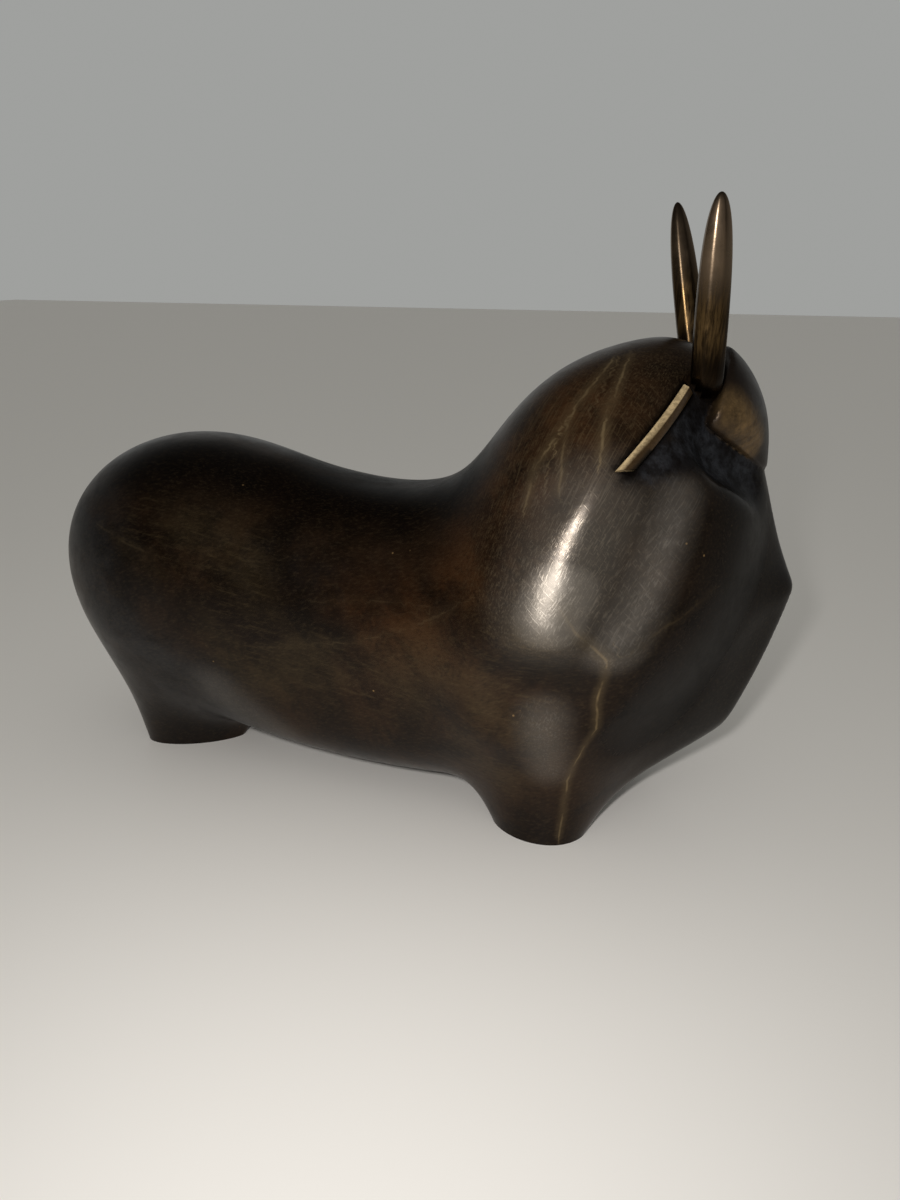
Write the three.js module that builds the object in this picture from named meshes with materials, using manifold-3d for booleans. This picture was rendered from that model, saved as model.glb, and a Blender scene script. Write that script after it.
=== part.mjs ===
// A stylised bull, cast in bronze in one piece: a smooth heavy body on four stub feet, a keeled
// chest, a face in low relief, two slim ears laid back and two upright horns. The head is turned
// a little to the bull's left.
// Millimetres. +X is forward, +Y is the bull's left, +Z is up. Lengths along X are measured from
// the front feet, and the finished bull is moved so that the origin is under its middle.

import * as THREE from 'three';
import { mergeVertices } from 'three/addons/utils/BufferGeometryUtils.js';
import Module from 'manifold-3d';

const wasm = await Module();
wasm.setup();

// Turn of the head about an upright line, growing from turnStart to turnEnd. All other places are
// given as they would be with the head straight.
const headTurn = THREE.MathUtils.degToRad(14);
const turnPivotX = -10;
const turnStart = { x: -25, z: 35 };
const turnEnd = { x: 35, z: 110 };

// Body masses: the place of each centre, its radii, and how square its section across the body
// is above and below the centre, where 2 is an ellipse.
const rump = { x: -165, side: 0, z: 80.4, length: 60, width: 50, height: 53.6, over: 2.1, under: 1.95 };
const barrel = { x: -82, side: 0, z: 63.3, length: 104, width: 49, height: 54.5, over: 2.6, under: 3.4 };
const shoulder = { x: -4, side: 0, z: 81, length: 43, width: 64.5, height: 55, over: 2, under: 2 };
const shoulderLean = 0.22;
const neck = { x: 12, side: 0, z: 119.5, length: 44, width: 44, height: 53.5, over: 2.5, under: 2.5 };
const poll = { x: 26, side: 0, z: 146.5, length: 24, width: 25, height: 29.5, over: 2.2, under: 2.2 };
const trunkBlend = 60;
const shoulderBlend = 70;
const neckBlend = 64;
const pollBlend = 20;

// The hollow on each side of the throat, under the jaw.
const throatHollow = { x: 53, side: 48, z: 157, length: 31, width: 32, height: 19, over: 2, under: 2 };
const hollowBlend = 18;

// Grooves pressed into the body: a rod's two ends (x, side, z), its radius and how soft its edge is.
const jawGroove = { start: [43, 31, 145], end: [61, 20, 134], radius: 10, softness: 10 };
const chestValley = { start: [24, 62, 146], end: [14, 76, 101], radius: 18, softness: 10 };
const shoulderHollow = { start: [-7, 73.5, 66], end: [2, 73.5, 67], radius: 17, softness: 18 };
const grooves = [jawGroove, chestValley, shoulderHollow];

// Legs, each a tapered column from its foot up into the body. They are first made too long by
// footAllowance, then cut off flat where they stand. The gap between the rear feet narrows upward.
const frontLeg = { x: -4.5, side: 35.5, length: 14.5, width: 12, toeIn: 0 };
const frontLegTop = { x: -8, side: 16, z: 64, radius: 31 };
const rearLeg = { x: -167.5, side: 17, length: 20.5, width: 10.5, toeIn: 0.4 };
const rearLegTop = { x: -168, side: 14, z: 62, radius: 34 };
const frontLegBlend = 26;
const rearLegBlend = 22;
const rearGap = { side: 10, slope: 0.5, rounding: 4 };
const footAllowance = 9;

// Chest: a flat facet on each side, meeting in a keel whose foremost point is the prow. A facet's
// spread is how far it goes out for each millimetre back.
const prow = { x: 81.9, z: 88.8 };
const keelTop = { x: 60.9, z: 137 };
const keelCorner = { x: 60.7, z: 33.6 };
const keelCurve = 1.05;
const keelRounding = 2.5;
const prowSoftness = 0.6;
const chestLow = { z: 90, spread: 0.88 };
const chestHigh = { z: 150, spread: 1.4 };
const chestCorner = { x: 18, side: 56 };
const chestFlankAngle = THREE.MathUtils.degToRad(10);
const chestTaper = { z: 82, slope: 0.17 };
const chestRoofZ = 185;
const chestRoofAngle = THREE.MathUtils.degToRad(45);
const chestTopZ = 152;
const chestRearX = -28;
const chestBackLow = { x: -30, z: 60 };
const chestBackHigh = { x: 20, z: 168 };
const chestArch = { z: 24, side: 43 };
const heelLow = { x: -17, z: 0 };
const heelHigh = { x: -46, z: 30 };
const chestRounding = 10;
const chestCornerRounding = 9;
const chestBlend = 18;

// Face: a convex shield on the front of the head, its jaw line slanting down to the muzzle.
const face = { x: 34.7, side: 0, z: 132, length: 29.3, width: 32.5, height: 46.5, over: 2, under: 2 };
const muzzle = { z: 134, widthShare: 0.52 };
const cheekZ = 158;
const jawBack = { x: 37, z: 150.5 };
const jawFront = { x: 62.7, z: 132.3 };
const faceBackLow = { x: 36.6, z: 153 };
const faceBackHigh = { x: 42, z: 167 };
const faceRounding = 3;
const faceKeelRounding = 0.5;

// Horns: upright, slightly flattened, leaning a little outward, their roots tucked into the head.
// The bull's left horn, on the far side of the turned head, leans further back.
const rightHornX = { base: 35, tip: 31.6 };
const leftHornX = { base: 41, tip: 29 };
const hornBase = { side: 22.6, z: 158 };
const hornTip = { side: 31, z: 221.6 };
const hornRoot = { share: 0.16, tuck: 8 };
const hornHalfLength = 5.4;
const hornHalfWidth = 4.1;
const hornTaper = 4.5;
const hornTipShare = 0.98;
const hornRings = 12;
const hornSides = 12;

// Ears: slim bars laid back from the foot of each horn. The section is given across the bar, as a
// share of its half width, and outward from the skin, with a ridge along the ear's upper side.
const earRoot = { x: 32.4, side: 30, z: 164, halfWidth: 2 };
const earTip = { x: 9.6, side: 47.5, z: 140, halfWidth: 1.7 };
const earOut = { x: 0.12, side: 0.875, z: 0.47 };
const earSection = [[-1, -6], [1, -6], [1, 2.5], [-0.2, 3], [-1, 1.7]];
const earTipCut = 1.2;
const earBow = 2.2;
const earRings = 5;

// Spacing of the places where the smooth surfaces are measured, closer together in the head.
const bodySpacing = 6.8;
const headSpacing = 6.2;
const faceSpacing = 3.4;
const bodySpan = { back: -240, shoulder: 20, front: 92, side: 80, low: -20, neck: 126, top: 200 };
const faceSpan = { back: 30, front: 70, side: 34, low: 122, top: 184 };
const groundBlock = 600;
const surfaceRounds = 4;
const earRounds = 12;
const tiny = 1e-6;

const clamp01 = (t) => Math.min(1, Math.max(0, t));
const mix = (a, b, t) => a + (b - a) * t;
const mean = (numbers) => numbers.reduce((sum, value) => sum + value, 0) / numbers.length;

function smoothStep(start, end, value) {
  const t = clamp01((value - start) / (end - start));
  return t * t * (3 - 2 * t);
}

// Joins two distances with a soft fillet.
function blend(a, b, size) {
  const nearness = Math.max(0, size - Math.abs(a - b)) / size;
  return Math.min(a, b) - size * nearness ** 3 / 6;
}

// Keeps what two distances share, with a soft edge.
function blendCut(a, b, size) {
  return -blend(-a, -b, size);
}

// Distance from a line seen from the side, positive on the left of the way it runs.
function leftOf(x, z, from, to) {
  const run = to.x - from.x;
  const rise = to.z - from.z;
  return (run * (z - from.z) - rise * (x - from.x)) / Math.hypot(run, rise);
}

function roundMass(x, side, z, mass) {
  const ahead = x - mass.x;
  const out = side - mass.side;
  const up = z - mass.z;
  const squareness = up > 0 ? mass.over : mass.under;
  const across = Math.abs(out / mass.width) ** squareness + Math.abs(up / mass.height) ** squareness;
  const reach = Math.hypot(ahead / mass.length, across ** (1 / squareness));
  const distance = Math.hypot(ahead, out, up);
  return distance - distance / Math.max(reach, tiny);
}

// Distance to a rod with round ends.
function rod(x, side, z, place) {
  const line = new THREE.Line3(new THREE.Vector3(...place.start), new THREE.Vector3(...place.end));
  const point = new THREE.Vector3(x, side, z);
  const nearest = line.closestPointToPoint(point, true, new THREE.Vector3());
  return nearest.distanceTo(point) - place.radius;
}

function legColumn(x, side, z, foot, top) {
  const t = clamp01(z / top.z);
  const length = mix(foot.length, top.radius, t);
  const width = mix(foot.width, top.radius, t);
  const footSide = foot.side - foot.toeIn * (x - foot.x);
  const reach = Math.hypot(
    (x - mix(foot.x, top.x, t)) / length,
    (side - mix(footSide, top.side, t)) / width,
    Math.max(0, z - top.z) / top.radius,
  );
  return (reach - 1) * Math.min(length, width);
}

// The keel seen from the side, two slopes meeting at the prow. The corner softens off the keel.
function keelX(side, z) {
  const depth = (prow.z - z) / (prow.z - keelCorner.z);
  const above = mix(prow.x, keelTop.x, (z - prow.z) / (keelTop.z - prow.z));
  const below = mix(prow.x, keelCorner.x, Math.sign(depth) * Math.abs(depth) ** keelCurve);
  return blend(above, below, 1 + prowSoftness * side);
}

function chest(x, side, z) {
  const spread = mix(chestLow.spread, chestHigh.spread, smoothStep(chestLow.z, chestHigh.z, z));
  const facet = ((x - keelX(side, z)) * spread + side) / Math.hypot(spread, 1);
  const cornerSide = chestCorner.side - chestTaper.slope * Math.max(0, chestTaper.z - z);
  const flank = (side - cornerSide) * Math.cos(chestFlankAngle)
    - (x - chestCorner.x) * Math.sin(chestFlankAngle);
  const slope = (z - chestRoofZ) * Math.cos(chestRoofAngle) + side * Math.sin(chestRoofAngle);
  const roof = blendCut(slope, z - chestTopZ, chestRounding);
  const underSlope = (keelCorner.z - chestArch.z) / keelCorner.x;
  const archSlope = chestArch.z / chestArch.side;
  const underZ = chestArch.z + underSlope * x - archSlope * side;
  const under = (underZ - z) / Math.hypot(1, underSlope, archSlope);
  const back = Math.max(chestRearX - x, leftOf(x, z, chestBackLow, chestBackHigh));
  const heel = leftOf(x, z, heelLow, heelHigh);
  const sides = blendCut(facet, flank, chestCornerRounding);
  const below = blendCut(under, heel, chestRounding);
  const ends = blendCut(roof, blendCut(below, back, chestRounding), chestRounding);
  return blendCut(sides, ends, chestRounding);
}

// The body without the face, its left and right sides alike.
function body(x, y, z) {
  const side = Math.hypot(y, keelRounding);
  const leaningX = x - shoulderLean * (z - shoulder.z);
  let distance = blend(roundMass(x, side, z, rump), roundMass(x, side, z, barrel), trunkBlend);
  distance = blend(distance, roundMass(leaningX, side, z, shoulder), shoulderBlend);
  distance = blend(distance, roundMass(x, side, z, neck), neckBlend);
  distance = blend(distance, roundMass(x, side, z, poll), pollBlend);
  distance = blend(distance, chest(x, side, z), chestBlend);
  distance = blendCut(distance, -roundMass(x, side, z, throatHollow), hollowBlend);
  for (const groove of grooves) {
    distance = blendCut(distance, -rod(x, side, z, groove), groove.softness);
  }
  distance = blend(distance, legColumn(x, side, z, frontLeg, frontLegTop), frontLegBlend);
  const gap = (rearGap.side - rearGap.slope * z - side) / Math.hypot(1, rearGap.slope);
  const rearColumn = blendCut(legColumn(x, side, z, rearLeg, rearLegTop), gap, rearGap.rounding);
  distance = blend(distance, rearColumn, rearLegBlend);
  return Math.max(distance, -footAllowance - z);
}

function faceShield(x, y, z) {
  const width = mix(muzzle.widthShare, 1, smoothStep(muzzle.z, cheekZ, z));
  const front = roundMass(x, Math.hypot(y, faceKeelRounding) / width, z, face) * width;
  const jaw = leftOf(x, z, jawFront, jawBack);
  const back = leftOf(x, z, faceBackLow, faceBackHigh);
  return blendCut(front, blendCut(jaw, back, faceRounding), faceRounding);
}

function skin(x, y, z) {
  return Math.min(body(x, y, z), faceShield(x, y, z));
}

// Moves a point onto the surface where the field is zero, along the field's slope.
function ontoSurface(field, start, rounds) {
  const step = 0.01;
  let point = start;
  for (let round = 0; round < rounds; round += 1) {
    const [x, y, z] = point;
    const value = field(x, y, z);
    const slope = new THREE.Vector3(
      (field(x + step, y, z) - value) / step,
      (field(x, y + step, z) - value) / step,
      (field(x, y, z + step) - value) / step,
    );
    const move = slope.multiplyScalar(-value / slope.lengthSq());
    point = [x + move.x, y + move.y, z + move.z];
  }
  return point;
}

// Places from low to high, closer together beyond the turning point.
function gridLine(low, turningPoint, high, coarse, fine) {
  const places = [];
  for (let place = low; place < high + fine; place += place < turningPoint ? coarse : fine) {
    places.push(place);
  }
  return places;
}

// Places on both sides of the middle plane, none on it, so that one row of cells lies astride it.
function bothSides(reach, spacing) {
  const half = [];
  for (let place = spacing / 2; place < reach; place += spacing) {
    half.push(place);
  }
  return [...half.map((place) => -place).reverse(), ...half];
}

function geometryFrom(positions, indices) {
  const geometry = new THREE.BufferGeometry();
  geometry.setAttribute('position', new THREE.Float32BufferAttribute(positions, 3));
  geometry.setIndex(indices);
  return geometry;
}

// Turns a field of distances into a closed mesh. Each cell that the surface crosses gets one
// point, and each grid edge that it crosses gets a quad between the four cells around it.
function surfaceOf(field, lines) {
  const axes = [0, 1, 2];
  const counts = lines.map((line) => line.length);
  const indexOf = (at) => (at[2] * counts[1] + at[1]) * counts[0] + at[0];
  const moved = (at, axis, amount) => at.map((value, n) => value + (n === axis ? amount : 0));
  const placeOf = (at) => at.map((value, axis) => lines[axis][value]);
  const eachAt = (first, visit) => {
    for (let k = first; k < counts[2] - 1; k += 1) {
      for (let j = first; j < counts[1] - 1; j += 1) {
        for (let i = first; i < counts[0] - 1; i += 1) {
          visit([i, j, k]);
        }
      }
    }
  };
  const values = new Map();
  const valueAt = (at) => {
    const key = indexOf(at);
    if (!values.has(key)) {
      values.set(key, field(...placeOf(at)));
    }
    return values.get(key);
  };

  const positions = [];
  const pointOfCell = new Map();
  eachAt(0, (at) => {
    const crossings = [];
    for (const axis of axes) {
      const [next, last] = axes.filter((other) => other !== axis);
      for (const [a, b] of [[0, 0], [1, 0], [0, 1], [1, 1]]) {
        const from = moved(moved(at, next, a), last, b);
        const to = moved(from, axis, 1);
        const start = valueAt(from);
        const end = valueAt(to);
        if ((start < 0) !== (end < 0)) {
          const far = placeOf(to);
          crossings.push(placeOf(from).map((value, n) => mix(value, far[n], start / (start - end))));
        }
      }
    }
    if (crossings.length > 0) {
      const middle = axes.map((axis) => mean(crossings.map((crossing) => crossing[axis])));
      pointOfCell.set(indexOf(at), positions.length / 3);
      positions.push(...ontoSurface(field, middle, surfaceRounds));
    }
  });

  const indices = [];
  eachAt(1, (at) => {
    for (const axis of axes) {
      const inside = valueAt(at) < 0;
      if (inside === (valueAt(moved(at, axis, 1)) < 0)) {
        continue;
      }
      const u = (axis + 1) % 3;
      const v = (axis + 2) % 3;
      const around = [at, moved(at, u, -1), moved(moved(at, u, -1), v, -1), moved(at, v, -1)];
      const ring = around.map((place) => pointOfCell.get(indexOf(place)));
      const [a, b, c, d] = inside ? ring : ring.reverse();
      indices.push(a, b, c, a, c, d);
    }
  });
  return geometryFrom(positions, indices);
}

// Joins rings, each with the same number of points, into a solid with flat ends.
function loft(rings) {
  const sides = rings[0].length;
  const positions = rings.flat().flatMap((point) => point.toArray());
  const indices = [];
  for (let row = 0; row < rings.length - 1; row += 1) {
    for (let n = 0; n < sides; n += 1) {
      const a = row * sides + n;
      const b = row * sides + (n + 1) % sides;
      indices.push(a, b, b + sides, a, b + sides, a + sides);
    }
  }
  const last = (rings.length - 1) * sides;
  for (let n = 1; n < sides - 1; n += 1) {
    indices.push(0, n + 1, n, last, last + n, last + n + 1);
  }
  return geometryFrom(positions, indices);
}

function hornGeometry(hand) {
  const lean = hand < 0 ? rightHornX : leftHornX;
  const rings = [];
  for (let row = 0; row < hornRings; row += 1) {
    const t = Math.sin((row / (hornRings - 1)) * hornTipShare * Math.PI / 2);
    const thickness = Math.sqrt(1 - t ** hornTaper);
    const tuck = hornRoot.tuck * Math.max(0, 1 - t / hornRoot.share) ** 2;
    const side = mix(hornBase.side, hornTip.side, t) - tuck;
    const ring = [];
    for (let n = 0; n < hornSides; n += 1) {
      const angle = (n / hornSides) * 2 * Math.PI;
      ring.push(new THREE.Vector3(
        mix(lean.base, lean.tip, t) + hornHalfLength * thickness * Math.cos(angle),
        hand * side + hornHalfWidth * thickness * Math.sin(angle),
        mix(hornBase.z, hornTip.z, t),
      ));
    }
    rings.push(ring);
  }
  return loft(rings);
}

// The ear's ends lie on the skin, and between them its middle line bows outward by earBow.
function earGeometry(hand) {
  const onSkin = ({ x, side, z }) => new THREE.Vector3(...ontoSurface(skin, [x, hand * side, z], earRounds));
  const root = onSkin(earRoot);
  const tip = onSkin(earTip);
  const along = tip.clone().sub(root).normalize();
  const out = new THREE.Vector3(earOut.x, hand * earOut.side, earOut.z);
  out.addScaledVector(along, -out.dot(along)).normalize();
  const upper = new THREE.Vector3().crossVectors(along, out).multiplyScalar(-hand);
  const rings = [];
  for (let row = 0; row < earRings; row += 1) {
    const t = row / (earRings - 1);
    const halfWidth = mix(earRoot.halfWidth, earTip.halfWidth, t);
    const middle = root.clone().lerp(tip, t).addScaledVector(out, earBow * 4 * t * (1 - t));
    const ring = earSection.map(([across, proud]) => middle.clone()
      .addScaledVector(upper, across * halfWidth)
      .addScaledVector(out, proud)
      .addScaledVector(along, earTipCut * (across - 1) * halfWidth * t));
    rings.push(hand > 0 ? ring : ring.reverse());
  }
  return loft(rings);
}

// Turns the head of the finished bull, more and more towards the front and the top.
function turnHead(geometry) {
  const position = geometry.attributes.position;
  for (let n = 0; n < position.count; n += 1) {
    const x = position.getX(n);
    const share = smoothStep(turnStart.x, turnEnd.x, x)
      * smoothStep(turnStart.z, turnEnd.z, position.getZ(n));
    const point = new THREE.Vector2(x, position.getY(n));
    point.rotateAround(new THREE.Vector2(turnPivotX, 0), headTurn * share);
    position.setXY(n, point.x, point.y);
  }
  return geometry;
}

function solidOf(geometry) {
  const bare = geometry.clone();
  bare.deleteAttribute('normal');
  bare.deleteAttribute('uv');
  const merged = mergeVertices(bare);
  return new wasm.Manifold(new wasm.Mesh({
    numProp: 3,
    vertProperties: new Float32Array(merged.attributes.position.array),
    triVerts: new Uint32Array(merged.index.array),
  }));
}

function bullGeometry() {
  const bodyLines = [
    gridLine(bodySpan.back, bodySpan.shoulder, bodySpan.front, bodySpacing, headSpacing),
    bothSides(bodySpan.side, bodySpacing),
    gridLine(bodySpan.low, bodySpan.neck, bodySpan.top, bodySpacing, headSpacing),
  ];
  const faceLines = [
    gridLine(faceSpan.back, faceSpan.back, faceSpan.front, faceSpacing, faceSpacing),
    bothSides(faceSpan.side, faceSpacing),
    gridLine(faceSpan.low, faceSpan.low, faceSpan.top, faceSpacing, faceSpacing),
  ];
  let bull = solidOf(surfaceOf(body, bodyLines)).add(solidOf(surfaceOf(faceShield, faceLines)));
  for (const hand of [-1, 1]) {
    bull = bull.add(solidOf(hornGeometry(hand))).add(solidOf(earGeometry(hand)));
  }
  const aboveGround = new THREE.BoxGeometry(groundBlock, groundBlock, groundBlock);
  aboveGround.translate(0, 0, groundBlock / 2);
  const mesh = bull.intersect(solidOf(aboveGround)).getMesh();
  const geometry = turnHead(geometryFrom(mesh.vertProperties, Array.from(mesh.triVerts)));
  geometry.computeBoundingBox();
  const middle = geometry.boundingBox.getCenter(new THREE.Vector3());
  return geometry.translate(-middle.x, -middle.y, 0);
}

const bronze = new THREE.MeshStandardMaterial({ color: 0x3a2a1c, roughness: 0.35, metalness: 0.9 });

const bull = new THREE.Mesh(bullGeometry(), bronze);
bull.name = 'bull';

const sculpture = new THREE.Group();
sculpture.add(bull);

export default sculpture;
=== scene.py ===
"""The looks of the cast bronze bull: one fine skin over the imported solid, in dark patinated bronze."""

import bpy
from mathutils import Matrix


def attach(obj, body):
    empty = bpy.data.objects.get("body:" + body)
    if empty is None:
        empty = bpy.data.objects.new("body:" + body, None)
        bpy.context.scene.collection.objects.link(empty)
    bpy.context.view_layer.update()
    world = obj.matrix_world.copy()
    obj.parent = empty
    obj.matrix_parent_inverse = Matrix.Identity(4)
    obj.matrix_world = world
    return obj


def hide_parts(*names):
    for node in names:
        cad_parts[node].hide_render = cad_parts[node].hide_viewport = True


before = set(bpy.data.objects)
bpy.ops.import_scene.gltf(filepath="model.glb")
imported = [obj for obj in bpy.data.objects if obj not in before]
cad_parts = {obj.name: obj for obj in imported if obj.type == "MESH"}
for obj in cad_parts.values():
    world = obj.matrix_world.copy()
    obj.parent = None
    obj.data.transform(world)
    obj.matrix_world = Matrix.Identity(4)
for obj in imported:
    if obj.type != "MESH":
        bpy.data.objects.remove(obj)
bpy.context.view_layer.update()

import math
from types import SimpleNamespace

import bmesh
import bpy
import numpy as np
from mathutils import Matrix, Vector

MM = 0.001

# Turn of the head about an upright line. Lengths are in millimetres from the front feet.
head_turn = math.radians(14)
turn_pivot_x = -10
turn_start = SimpleNamespace(x=-25, z=35)
turn_end = SimpleNamespace(x=35, z=110)

# Body masses: centre, radii, and how square the section is above and below the centre.
rump = SimpleNamespace(x=-165, side=0, z=80.4, length=60, width=50, height=53.6, over=2.1, under=1.95)
barrel = SimpleNamespace(x=-82, side=0, z=63.3, length=104, width=49, height=54.5, over=2.6, under=3.4)
shoulder = SimpleNamespace(x=-4, side=0, z=81, length=43, width=64.5, height=55, over=2, under=2)
shoulder_lean = 0.22
neck = SimpleNamespace(x=12, side=0, z=119.5, length=44, width=44, height=53.5, over=2.5, under=2.5)
poll = SimpleNamespace(x=26, side=0, z=146.5, length=24, width=25, height=29.5, over=2.2, under=2.2)
trunk_blend = 60
shoulder_blend = 70
neck_blend = 64
poll_blend = 20

throat_hollow = SimpleNamespace(x=53, side=48, z=157, length=31, width=32, height=19, over=2, under=2)
hollow_blend = 18

# Grooves pressed into the body: a rod's two ends, its radius and how soft its edge is.
jaw_groove = SimpleNamespace(start=(43, 31, 145), end=(61, 20, 134), radius=10, softness=10)
chest_valley = SimpleNamespace(start=(24, 62, 146), end=(14, 76, 101), radius=18, softness=10)
shoulder_hollow = SimpleNamespace(start=(-7, 73.5, 66), end=(2, 73.5, 67), radius=17, softness=18)
grooves = [jaw_groove, chest_valley, shoulder_hollow]

front_leg = SimpleNamespace(x=-4.5, side=35.5, length=14.5, width=12, toe_in=0)
front_leg_top = SimpleNamespace(x=-8, side=16, z=64, radius=31)
rear_leg = SimpleNamespace(x=-167.5, side=17, length=20.5, width=10.5, toe_in=0.4)
rear_leg_top = SimpleNamespace(x=-168, side=14, z=62, radius=34)
front_leg_blend = 26
rear_leg_blend = 22
rear_gap = SimpleNamespace(side=10, slope=0.5, rounding=4)
foot_allowance = 9

# Chest: a flat facet on each side, meeting in a keel whose foremost point is the prow.
prow = SimpleNamespace(x=81.9, z=88.8)
keel_top = SimpleNamespace(x=60.9, z=137)
keel_corner = SimpleNamespace(x=60.7, z=33.6)
keel_curve = 1.05
keel_rounding = 2.5
prow_softness = 0.6
chest_low_spread = 0.88
chest_high_spread = 1.4
chest_spread_low_z = 90
chest_spread_high_z = 150
chest_corner = SimpleNamespace(x=18, side=56)
chest_flank_angle = math.radians(10)
chest_taper = 0.17
chest_taper_z = 82
chest_roof_z = 185
chest_roof_angle = math.radians(45)
chest_top_z = 152
chest_rear_x = -28
chest_back_low = SimpleNamespace(x=-30, z=60)
chest_back_high = SimpleNamespace(x=20, z=168)
chest_arch = SimpleNamespace(z=24, side=43)
heel_low = SimpleNamespace(x=-17, z=0)
heel_high = SimpleNamespace(x=-46, z=30)
chest_rounding = 10
chest_corner_rounding = 9
chest_blend = 18

# Face: a convex shield on the front of the head, its jaw line slanting down to the muzzle.
face = SimpleNamespace(x=34.7, side=0, z=132, length=29.3, width=32.5, height=46.5, over=2, under=2)
muzzle = SimpleNamespace(z=134, width_share=0.52)
cheek_z = 158
jaw_back = SimpleNamespace(x=37, z=150.5)
jaw_front = SimpleNamespace(x=62.7, z=132.3)
face_back_low = SimpleNamespace(x=36.6, z=153)
face_back_high = SimpleNamespace(x=42, z=167)
face_rounding = 3
face_fillet = 1
face_keel_rounding = 0.5

# Horns and ears. The ear's section is given across the bar, as a share of its half width, and
# outward from its middle line.
near_horn_x = (35, 31.6)
far_horn_x = (41, 29)
horn_base = SimpleNamespace(side=22.6, z=158)
horn_root_share = 0.16
horn_root_tuck = 8
horn_tip = SimpleNamespace(side=31, z=221.6)
horn_half_length = 5.4
horn_half_width = 4.1
horn_taper = 4.5
horn_tip_share = 0.98
horn_rings = 40
horn_sides = 48
horn_facets = 8
horn_facet_depth = 0.6
ear_root = SimpleNamespace(x=32.4, side=30, z=164, half_width=2)
ear_tip = SimpleNamespace(x=9.6, side=47.5, z=140, half_width=1.7)
ear_out = SimpleNamespace(x=0.12, side=0.875, z=0.47)
ear_section = [(-1, -6), (1, -6), (1, 2.2), (0.85, 2.6), (0.15, 3), (0, 2.9), (-0.9, 1.5), (-1, 1)]
ear_tip_cut = 1.2
ear_bow = 2.2
ear_rings = 30
sharp_angle = math.radians(38)
# The fine skin is drawn in by a hair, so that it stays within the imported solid.
fine_scale = 0.9974

# Where the patina is worn, thin or dull, and where highlights, reflections and shade are painted, as lines on one
# side of the straight bull.
# The cheek patch: gold wear and a painted highlight.
cheek_line = [(44, 24, 157), (48, 21, 152), (53, 17, 144)]
recess_line = [(28, 30, 156), (36, 25, 144), (52, 15, 137)]
recess_edge = [(13, 47, 144), (27, 38, 145), (42, 20, 140)]
neck_line = [(8, 24, 166), (-8, 44, 142), (-8, 60, 112)]
# Painted highlights: the shoulder streak, its halo and the chest ridge.
streak_line = [(-1, 62, 107), (-3, 65, 98)]
halo_line = [(3, 53, 131), (1, 59, 116), (-2, 64, 101)]
ridge_line = [(26, 50, 136), (18, 58, 110), (13, 61, 88)]
warm_line = [(-64, 49, 86), (-40, 56, 84), (-24, 52, 110), (-15, 42, 134), (2, 30, 161)]
olive_line = [(-160, 46, 108), (-123, 46, 100), (-118, 50, 58), (-60, 50, 60), (-14, 62, 86), (-20, 50, 34)]
# Rump and haunch: duller patina, greyed by a painted floor reflection.
dull_line = [(-196, 36, 104), (-180, 50, 78), (-160, 48, 46), (-134, 42, 32)]
crown_line = [(-178, 18, 126), (-120, 16, 120), (-60, 16, 116), (-36, 16, 124)]
chest_line = [(56, 30, 118), (44, 42, 92), (34, 40, 60)]
# Painted floor reflections on the front leg and, below, in the haunch crease.
leg_line = [(-2, 58, 58), (1, 55, 36)]
# Towards the keel the front is darkened as painted shade.
keel_line = [(66, 4, 125), (80, 2, 89), (66, 4, 52)]
saddle_line = [(-104, 8, 118), (-64, 8, 112), (-40, 8, 120)]
crease_line = [(-136, 49, 42), (-112, 46, 22)]

# Lines rubbed through to the metal: how strong, how wide, and where on one side of the bull.
rubbed_lines = [
    (0.85, 0.9, [(11, 16, 173), (9, 26, 168), (6, 38, 158), (5, 42, 152), (5, 47, 145)]),
    (0.8, 1.0, [(6, 18, 172), (0, 30, 163), (-5, 36, 154), (-12, 42, 140), (-13, 48, 130)]),
    (0.6, 0.8, [(-2, 33, 160), (-5, 39, 151), (-4, 49, 135)]),
    (0.7, 1.0, [(-1, 63, 100), (3, 63, 93), (6, 62, 90), (12, 62, 84)]),
    (0.7, 0.8, [(12, 62, 84), (13, 57, 66), (15, 54, 55), (11, 51, 42), (7, 49, 30), (6, 47, 15), (5, 47, 4)]),
    (0.14, 1.0, [(39, 47, 102), (25, 58, 94), (18, 61, 87)]),
    (0.14, 1.0, [(-184, 43, 105), (-172, 47, 102), (-162, 49, 100), (-155, 50, 98)]),
    (0.17, 1.3, [(-112, 50, 66), (-72, 51, 74), (-44, 54, 87), (-27, 54, 97)]),
    (0.12, 1.0, [(-88, 47, 86), (-60, 49, 91), (-42, 54, 93)]),
]
line_outward = (0.1, 0.85, 0.5)

# Finish, in linear colour.
# Black patina; also the painted shadow in the grooves beside the ears.
black_patina_and_shade = (0.0030, 0.0018, 0.0012, 1)
patina_brown = (0.030, 0.0150, 0.0066, 1)
patina_red = (0.074, 0.0290, 0.0095, 1)
patina_olive = (0.085, 0.058, 0.026, 1)
# Grey for the rump and haunch: duller patina and a painted floor reflection.
grey_patina_and_reflection = (0.026, 0.024, 0.0235, 1)
patina_chest = (0.017, 0.0118, 0.0088, 1)
# Painted shade on the front towards the keel.
keel_painted_shade = (0.009, 0.0062, 0.0044, 1)
patina_tan = (0.20, 0.14, 0.07, 1)
# Gold for wear, streaks and specks, and for the painted highlight on the cheek.
gold_patina_and_highlight = (0.26, 0.16, 0.066, 1)
patina_blue = (0.042, 0.044, 0.050, 1)
# Lighter metal for polish and for the painted highlights and floor reflections.
rubbed_bronze_and_highlight = (0.56, 0.495, 0.42, 1)
horn_low = (0.012, 0.008, 0.005, 1)
horn_high = (0.25, 0.18, 0.12, 1)
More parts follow.
